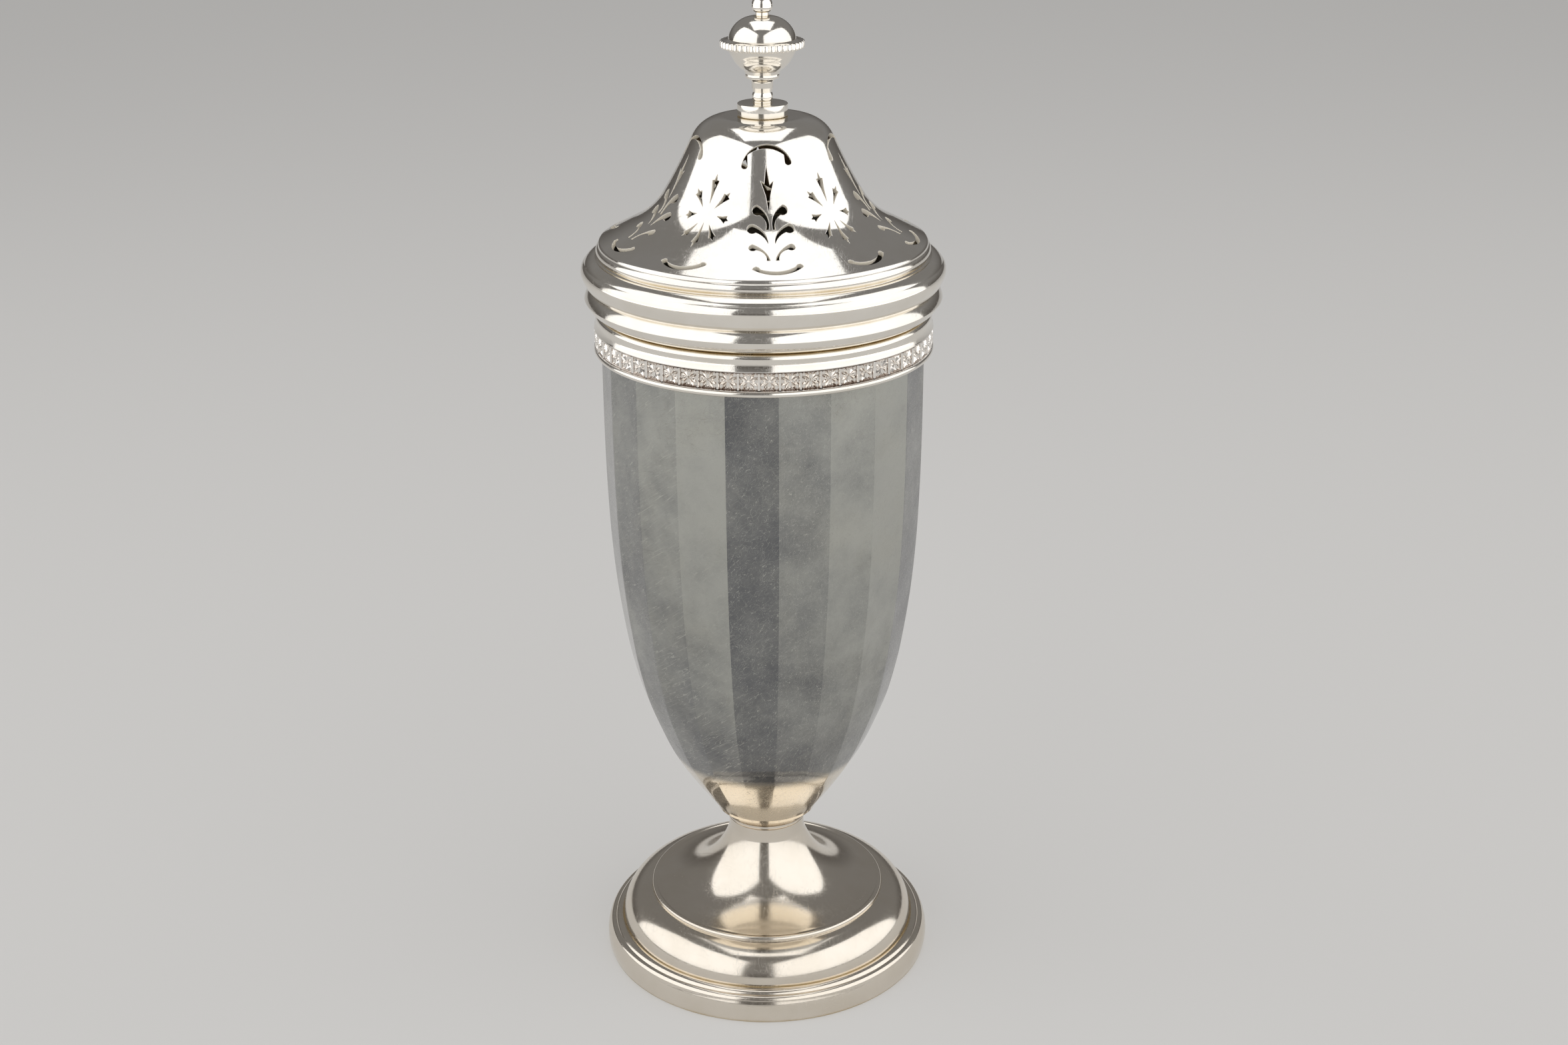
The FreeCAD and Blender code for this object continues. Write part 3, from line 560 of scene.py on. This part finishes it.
parts = []
for turn in (0.72, math.pi - 0.72, math.pi + 0.72, -0.72):
    for side in (-0.27, 0.27):
        heading = turn + side
        across, up = 1.12 * math.cos(heading), 1.08 * math.sin(heading)
        four_sided()
        parts.append(cell_part(across, up, 0.2, (0.92, 0.36, 0.46), heading + side * 0.2))
bpy.ops.mesh.primitive_cone_add(vertices=8, radius1=1, radius2=0.45, depth=1)
parts.append(cell_part(0, 0, 0.19, (0.26, 0.26, 0.38)))
for across, up in ((0.0, 1.15), (0.0, -1.15), (0.85, 0.0), (-0.85, 0.0)):
    four_sided()
    parts.append(cell_part(across, up, 0.12, (0.3, 0.3, 0.26)))
bpy.ops.mesh.primitive_cylinder_add(
    vertices=10, radius=1, depth=1, rotation=(math.pi / 2, 0, 0),
)
bpy.ops.object.transform_apply(rotation=True)
parts.append(cell_part(cell_width / 2, 0, 0.02, (0.3, 3.0, 0.37)))
for nick in range(nicks):
    across = (nick + 0.5) / nicks * cell_width - cell_width / 2
    for up in (-1.5, 1.5):
        four_sided()
        parts.append(cell_part(across, up, 0.13, (0.11, 0.34, 0.34)))
bpy.ops.object.select_all(action="DESELECT")
for part in parts:
    part.select_set(True)
bpy.context.view_layer.objects.active = parts[0]
bpy.ops.object.join()
cell = bpy.context.object
copies = []
for number in range(cells):
    copy = bpy.data.objects.new("cell_copy", cell.data.copy())
    bpy.context.scene.collection.objects.link(copy)
    for vertex in copy.data.vertices:
        across, up, out = vertex.co
        turn = cell_turn + (full_turn * number) / cells + across / cell_radius
        reach = (ground_radius + min(out, relief_limit)) * MM
        level = (strip_base + strip_height / 2 + up) * MM
        vertex.co = (reach * math.sin(turn), -reach * math.cos(turn), level)
    copies.append(copy)
bpy.data.objects.remove(cell)
bpy.ops.object.select_all(action="DESELECT")
for copy in copies:
    copy.select_set(True)
band_strip.select_set(True)
bpy.context.view_layer.objects.active = band_strip
bpy.ops.object.join()
bpy.ops.object.shade_smooth_by_angle(angle=crease_angle)
band_silver = silver(
    "band_silver", (0.93, 0.9, 0.86, 1), band_tarnish, 0.1, lines=0.1, dirt_reach=0.45,
)
fit(band_strip, "caster_body", band_silver, "band_silver", "band_strip")


# Shoulder moulding: closes the band from above and steps in under the mouth ring.
# Its upper edge is rounded, which leaves a dark notch below the ring.
shoulder = turned("shoulder_piece", outline(
    (seat_radius, 131.1), (edge_radius, 131.1), (30.9, 132.0), (30.9, 132.9),
    (30.05, bowl_top, 0.25), (seat_radius, bowl_top),
))
fit(shoulder, "caster_body", bright_silver, "bright_silver", "shoulder_moulding")


# Mouth ring: the turned ring on the lip, which the cover sits on.
# It is widest a little above its middle.
seam_height = 138.35
mouth_ring = turned("mouth_ring_piece", outline(
    (28.6, bowl_top), (30.1, bowl_top), (32.75, 136.6, 0.116), (31.7, seam_height, 0.063),
    (28.6, seam_height), step=0.3,
))
fit(mouth_ring, "caster_body", bright_silver, "bright_silver", "mouth_ring")


# Cover rim: the widest moulding, with a swelling underside, a reed and a small cove. It carries
# the bead at the root of the dome.
sleeve_radius = 28.55
rim_top = 144.45
flange_base = 146.15
cover_rim = turned("cover_rim_piece", outline(
    (sleeve_radius, seam_height), (31.7, seam_height), (33.25, 141.2, 0.058), (32.6, 143.0, 0.13),
    (30.6, 144.2, 0.13), (30.2, rim_top), (sleeve_radius, rim_top), step=0.3,
))
fit(cover_rim, "cover", bright_silver, "bright_silver", "cover_rim")
cover_bead = turned("cover_bead_piece", outline(
    (sleeve_radius, rim_top), (30.2, rim_top), (30.0, flange_base, 0.2),
    (sleeve_radius, flange_base), step=0.3,
))
fit(cover_bead, "cover", bright_silver, "bright_silver", "cover_bead")


# Cover sleeve: the duller ring inside the rim that pushes down into the mouth.
# It is hidden while the cover is on.
sleeve_silver = silver("sleeve_silver", (0.7, 0.68, 0.62, 1), brass_tarnish, 0.3)
cover_sleeve = turned("cover_sleeve_piece", outline(
    (27.75, 130.35), (sleeve_radius, 130.35), (sleeve_radius, rim_top), (27.75, rim_top),
))
fit(cover_sleeve, "cover", sleeve_silver, "sleeve_silver", "cover_sleeve")


# Pierced dome: a spun sheet with five plants and five flowers sawn through its flank, above a
# row of ten scrolls. One fifth of it, with a plant and a flower, is spun and cut, then repeated.
dome_wall = 0.9
crown_radius = 7.0
crown_height = 169.0
peg_hole_radius = 1.15
plants = 5
plant_turn = math.radians(3.8)
fifth_turn = full_turn / plants
quarter_step = fifth_turn / 4
first_turn = plant_turn - 1.2 * quarter_step
saw_out = 0.6
saw_in = 2.1
flank = outline(
    (29.6, 146.95), (23.9, 149.9), (17.75, 155.9, -0.075), (12.9, 165.1, -0.015),
    (crown_radius, crown_height, 0.150), step=0.55,
)
flange = outline((30.0, flange_base), (29.6, 146.95, 0.15), step=0.4)
skin = [(r / MM, z / MM) for r, z in flange + flank[1:]]
skin_normals = []
for index in range(len(skin)):
    low = skin[max(index - 1, 0)]
    high = skin[min(index + 1, len(skin) - 1)]
    along = math.hypot(high[0] - low[0], high[1] - low[1])
    skin_normals.append(((high[1] - low[1]) / along, -(high[0] - low[0]) / along))
skin_normals[0] = (1.0, 0.0)
skin_normals[-1] = (0.0, 1.0)
lining = [
    (point[0] - dome_wall * normal[0], point[1] - dome_wall * normal[1])
    for point, normal in zip(skin, skin_normals)
]
peg_hole = [(peg_hole_radius, crown_height), (peg_hole_radius, crown_height - dome_wall)]
dome_outline = skin + peg_hole + lining[::-1]

# A corner of a hole is (across, up) or (across, up, rise): across in quarters of the turn from
# one plant to the next, up in shares of the flank's length, and rise as in an outline.
ARCH = (
    (-1.07, 0.698, -0.6), (0.956, 0.722, -0.366), (0.68, 0.718, -0.6), (0.68, 0.755),
    (-0.86, 0.757, 0.16), (-0.82, 0.702),
)
SPEAR = (
    (-0.03, 0.445), (0.03, 0.542), (0.16, 0.618), (0.02, 0.600),
    (-0.09, 0.705), (-0.16, 0.605), (-0.30, 0.620), (-0.12, 0.542),
)
UPPER_LEAF = ((0.06, 0.353, 0.16), (0.14, 0.353), (0.32, 0.436, -0.18), (0.41, 0.490, 0.57))
MIDDLE_LEAF = ((0.09, 0.266, 0.16), (0.42, 0.337, -0.11), (0.53, 0.386, 0.70))
LOWER_LEAF = ((0.06, 0.143, 0.12), (0.135, 0.143), (0.385, 0.224, -0.19), (0.47, 0.262, 0.75))
SCROLL = (
    (-0.43, 0.075, 0.5), (0.60, 0.088, 0.22), (0.46, 0.095, 0.5), (-0.28, 0.078, -0.17),
)
# Each hole of a plant, and whether it has a twin on the other side.
PLANT = (
    (ARCH, False), (SPEAR, False), (UPPER_LEAF, True), (MIDDLE_LEAF, True), (LOWER_LEAF, True),
    (SCROLL, False),
)
# Each petal of a flower runs from an inner to an outer point, with barbs this far from its line.
PETALS = (
    ((0.0, 0.480), (0.0, 0.643), 0.75), ((0.22, 0.458), (0.655, 0.550), 0.72),
    ((0.36, 0.418), (0.745, 0.398), 0.75), ((0.19, 0.367), (0.48, 0.272), 0.62),
    ((0.0, 0.376), (0.0, 0.212), 0.6),
)
# Corners of one edge of a petal: along its line, and out from it in shares of the barb.
PETAL_EDGE = ((0.45, 0.42), (0.78, 1.0), (0.80, 0.36))

flank_mm = [Vector((r / MM, z / MM)) for r, z in flank]
flank_length = sum((end - start).length for start, end in zip(flank_mm[:-1], flank_mm[1:]))


def on_flank(share):
    """Point of the flank in the meridian plane and its outward normal, at a share of its length."""
    left = share * flank_length
    for start, end in zip(flank_mm[:-1], flank_mm[1:]):
        length = (end - start).length
        if left <= length:
            break
        left -= length
    along = (end - start).normalized()
    return start + along * min(left, length), Vector((along.y, -along.x))


def around(radius, turn, height):
    """Point at a radius, a turn from the front towards +X, and a height."""
    return Vector((radius * math.sin(turn), -radius * math.cos(turn), height))


def hole(turn, corners):
    """Prism of one hole, square to the sheet at the hole's middle, as points and faces."""
    places = []
    for corner in corners:
        point, _ = on_flank(corner[1])
        places.append(around(point.x, turn + corner[0] * quarter_step, point.y))
    across_middle = sum(corner[0] for corner in corners) / len(corners)
    point, normal = on_flank(sum(corner[1] for corner in corners) / len(corners))
    middle_turn = turn + across_middle * quarter_step
    middle = around(point.x, middle_turn, point.y)
    outward = around(normal.x, middle_turn, normal.y)
    east = around(1, middle_turn + math.pi / 2, 0)
    north = outward.cross(east)
    flat = []
    for place, corner in zip(places, corners):
        flat.append(((place - middle).dot(east), (place - middle).dot(north), *corner[2:]))
    rounded = outline(*flat, step=0.5, bend=12)
    ring = [middle + east * (x / MM) + north * (y / MM) for x, y in rounded]
    points = [(point + outward * saw_out) * MM for point in ring]
    points += [(point - outward * saw_in) * MM for point in ring]
    count = len(ring)
    faces = [tuple(range(count)), tuple(range(2 * count - 1, count - 1, -1))]
    for index in range(count):
        after = (index + 1) % count
        faces.append((index, index + count, after + count, after))
    return points, faces


def mirrored(corners):
    """The same hole on the other side of the motif's middle."""
    return [(-corner[0], corner[1], *[-rise for rise in corner[2:]]) for corner in corners]


def petal(inner, outer, barb):
    """Corners of a dart with three spikes at its outer end, barb mm out from its line."""
    across_mm = quarter_step * on_flank((inner[1] + outer[1]) / 2)[0].x
    line = Vector(((outer[0] - inner[0]) * across_mm, (outer[1] - inner[1]) * flank_length))
    aside = Vector((-line.y, line.x)).normalized() * barb
    path = [Vector((0, 0))] + [line * along + aside * out for along, out in PETAL_EDGE] + [line]
    path += [line * along - aside * out for along, out in reversed(PETAL_EDGE)]
    return [(inner[0] + step.x / across_mm, inner[1] + step.y / flank_length) for step in path]


fifth = placed(
    "fifth", [around(r * MM, first_turn, z * MM) for r, z in dome_outline],
    [], [tuple(range(len(dome_outline)))],
)
only(fifth)
bpy.ops.object.mode_set(mode="EDIT")
bpy.ops.mesh.select_all(action="SELECT")
bpy.ops.mesh.spin(steps=72, angle=fifth_turn, center=(0, 0, 0), axis=(0, 0, -1))
bpy.ops.mesh.select_all(action="SELECT")
bpy.ops.mesh.normals_make_consistent(inside=False)
bpy.ops.object.mode_set(mode="OBJECT")

holes = []
for corners, paired in PLANT:
    holes.append(hole(plant_turn, corners))
    if paired:
        holes.append(hole(plant_turn, mirrored(corners)))
flower_turn = plant_turn + 2 * quarter_step
holes.append(hole(flower_turn, SCROLL))
for inner, outer, barb in PETALS:
    corners = petal(inner, outer, barb)
    holes.append(hole(flower_turn, corners))
    if inner[0]:
        holes.append(hole(flower_turn, mirrored(corners)))

# Neighbouring prisms meet inside the dome, so the holes are cut in three rounds.
rounds = 3
for number in range(rounds):
    saw_points = []
    saw_faces = []
    for points, faces in holes[number::rounds]:
        saw_faces += [tuple(index + len(saw_points) for index in face) for face in faces]
        saw_points += points
    saw = placed("saw", saw_points, [], saw_faces)
    only(saw)
    bpy.ops.object.mode_set(mode="EDIT")
    bpy.ops.mesh.select_all(action="SELECT")
    bpy.ops.mesh.normals_make_consistent(inside=False)
    bpy.ops.object.mode_set(mode="OBJECT")
    pierce = fifth.modifiers.new("pierce", "BOOLEAN")
    pierce.object = saw
    pierce.operation = "DIFFERENCE"
    pierce.solver = "EXACT"
    only(fifth)
    bpy.ops.object.modifier_apply(modifier="pierce")
    bpy.data.objects.remove(saw)

dome = placed("dome_piece", [], [], [])
fifths = [dome]
for number in range(plants):
    copy = bpy.data.objects.new("fifth_copy", fifth.data.copy())
    copy.data.transform(Matrix.Rotation(full_turn * number / plants, 4, "Z"))
    bpy.context.scene.collection.objects.link(copy)
    fifths.append(copy)
bpy.data.objects.remove(fifth)
bpy.ops.object.select_all(action="DESELECT")
for copy in fifths:
    copy.select_set(True)
bpy.context.view_layer.objects.active = dome
bpy.ops.object.join()

# The faces left at the seams between the fifths are taken out, and the seams are closed.
mesh = dome.data
seams = [first_turn + full_turn * number / plants for number in range(plants)]
mesh.vertices.foreach_set("select", [False] * len(mesh.vertices))
mesh.edges.foreach_set("select", [False] * len(mesh.edges))
for face in mesh.polygons:
    corners = [mesh.vertices[index].co for index in face.vertices]
    face.select = any(
        all(abs(co.x * math.cos(seam) + co.y * math.sin(seam)) < 1e-7 for co in corners)
        for seam in seams
    )
bpy.ops.object.mode_set(mode="EDIT")
bpy.ops.mesh.select_mode(type="FACE")
bpy.ops.mesh.delete(type="ONLY_FACE")
bpy.ops.mesh.select_mode(type="VERT")
bpy.ops.mesh.select_all(action="SELECT")
bpy.ops.mesh.remove_doubles(threshold=2e-7)
bpy.ops.object.mode_set(mode="OBJECT")
bpy.ops.object.shade_smooth_by_angle(angle=crease_angle)

# The sheet's two skins take their shading from the spun outline, so the saw cuts leave no ripples.
# Faces on neither skin, outside the flat crown, are the walls of the holes.
mesh = dome.data
places = np.array([vertex.co for vertex in mesh.vertices])
owner = np.array([loop.vertex_index for loop in mesh.loops])
corner_normals = np.array([corner.vector for corner in mesh.corner_normals])
face_normals = np.repeat(
    [face.normal for face in mesh.polygons], [face.loop_total for face in mesh.polygons], axis=0,
)
reaches = np.hypot(places[:, 0], places[:, 1])
meridian = np.stack([reaches, places[:, 2]], 1) / MM
normals = np.array(skin_normals)
row = np.arange(len(places))
polished = (reaches < (crown_radius + 0.01) * MM)[owner]
for curve, side in ((skin, 1), (lining, -1)):
    starts = np.array(curve[:-1])
    spans = np.array(curve[1:]) - starts
    from_start = meridian[:, None, :] - starts[None]
    shares = np.clip((from_start * spans).sum(2) / (spans ** 2).sum(1), 0, 1)
    gaps = np.linalg.norm(from_start - shares[:, :, None] * spans, axis=2)
    best = gaps.argmin(1)
    share = shares[row, best][:, None]
    flat = side * (normals[best] * (1 - share) + normals[best + 1] * share)
    level = flat[:, :1] * places[:, :2] / reaches[:, None]
    smooth = np.concatenate([level, flat[:, 1:]], 1)
    smooth /= np.linalg.norm(smooth, axis=1)[:, None]
    alike = (smooth[owner] * face_normals).sum(1) > 0.9
    on_skin = (gaps[row, best] < 0.02)[owner] & alike
    corner_normals[on_skin] = smooth[owner][on_skin]
    polished |= on_skin
sawn = mesh.attributes.new("sawn", "FLOAT", "FACE")
first_corners = np.array([face.loop_start for face in mesh.polygons])
whole = np.minimum.reduceat(polished, first_corners)
sawn.data.foreach_set("value", 1.0 - whole.astype(np.float32))
mesh.normals_split_custom_set([tuple(normal) for normal in corner_normals])
# The dome's sawn walls are given a near white cream, a painted highlight on the matte saw cuts.
dome_silver = silver(
    "dome_silver", (0.9, 0.87, 0.82, 1), (0.6, 0.42, 0.27, 1), 0.055, lines=0.5, dirt=0.0,
    soft_edge=0.16, sawn=(0.97, 0.92, 0.82, 1),
)
fit(dome, "cover", dome_silver, "dome_silver", "cover_dome")


# Washer and peg: the finial is held by a rivet through the crown, closed over a washer inside.
# Both are hidden while the cover is on.
washer = turned("washer_piece", outline(
    (peg_hole_radius, 167.1), (3.5, 167.1), (3.5, 168.1), (peg_hole_radius, 168.1),
), turns=96)
fit(washer, "cover", sleeve_silver, "sleeve_silver", "finial_washer")
peg = turned("peg_piece", outline(
    (0.0, 166.5), (1.9, 167.1, 0.2), (1.1, 167.1), (1.1, 172.0), (0.0, 172.0),
), turns=96)
fit(peg, "cover", sleeve_silver, "sleeve_silver", "finial_peg")


# Disc, stem and cup: turned pieces that carry the finial's flange, with a small ring at the root
# of the cup's bell.
disc_top = 171.3
cup_base = 174.0
cup_top = 180.95
disc = turned("disc_piece", outline(
    (peg_hole_radius, crown_height), (4.2, crown_height), (4.5, 169.2, 0.207), (4.5, 171.1),
    (4.3, disc_top, 0.207), (peg_hole_radius, disc_top), step=0.2,
), turns=128)
fit(disc, "cover", bright_silver, "bright_silver", "finial_disc")
stem = turned("stem_piece", outline(
    (peg_hole_radius, disc_top), (1.65, disc_top), (1.65, 171.7), (1.65, 173.2, 0.15),
    (1.9, cup_base), (0.0, cup_base), (0.0, 172.05), (peg_hole_radius, 172.05), step=0.2,
), turns=128)
fit(stem, "cover", bright_silver, "bright_silver", "finial_stem")
cup = turned("cup_piece", outline(
    (0.0, cup_base), (1.9, cup_base), (1.95, 174.9), (2.95, 175.7, -0.15), (3.0, 176.4, 0.1),
    (3.25, 177.0), (5.4, 179.3, 0.08), (6.15, cup_top, 0.04), (0.0, cup_top), step=0.3,
), turns=192)
fit(cup, "cover", bright_silver, "bright_silver", "finial_cup")


# Gadroon: a flange with a thick edge that is cut into forty lobes.
# The cuts are deepest at the edge and run out on its faces.
gadroons = 40
steps_per_gadroon = 8
cut_start = 6.6
cut_width = 0.89
cut_depth = 0.35
gadroon_top = 182.5
gadroon = turned("gadroon_piece", outline(
    (0.0, cup_top), (7.3, cup_top), (7.49, 181.2, 0.15), (7.49, 182.0), (7.3, 182.25, 0.15),
    (6.0, gadroon_top, -0.08), (0.0, gadroon_top), step=0.3,
), turns=gadroons * steps_per_gadroon)
for vertex in gadroon.data.vertices:
    reach = math.hypot(vertex.co.x, vertex.co.y)
    if reach > cut_start * MM:
        swing = abs(math.sin(math.atan2(vertex.co.x, -vertex.co.y) * gadroons / 2))
        outer_share = (reach - cut_start * MM) / (cut_width * MM)
        pull = 1 - cut_depth * MM * (1 - swing ** 0.6) * outer_share / reach
        vertex.co.x *= pull
        vertex.co.y *= pull
fit(gadroon, "cover", bright_silver, "bright_silver", "finial_gadroon")


# Crown and knop: a polished dome on the flange, and at the very top a bud on a short neck.
# The dome closes on the neck.
crown_top = 186.35
neck_radius = 1.15
crown = turned("crown_piece", outline(
    (0.0, gadroon_top), (6.0, gadroon_top), (neck_radius, crown_top, 0.19), (0.0, crown_top),
    step=0.3,
), turns=192)
fit(crown, "cover", bright_silver, "bright_silver", "finial_crown")
knop = turned("knop_piece", outline(
    (0.0, crown_top), (neck_radius, crown_top), (neck_radius, 187.0), (1.83, 188.2, 0.2),
    (0.3, 190.0, 0.19), (0.0, 190.0), step=0.2,
), turns=96)
fit(knop, "cover", bright_silver, "bright_silver", "finial_knop")
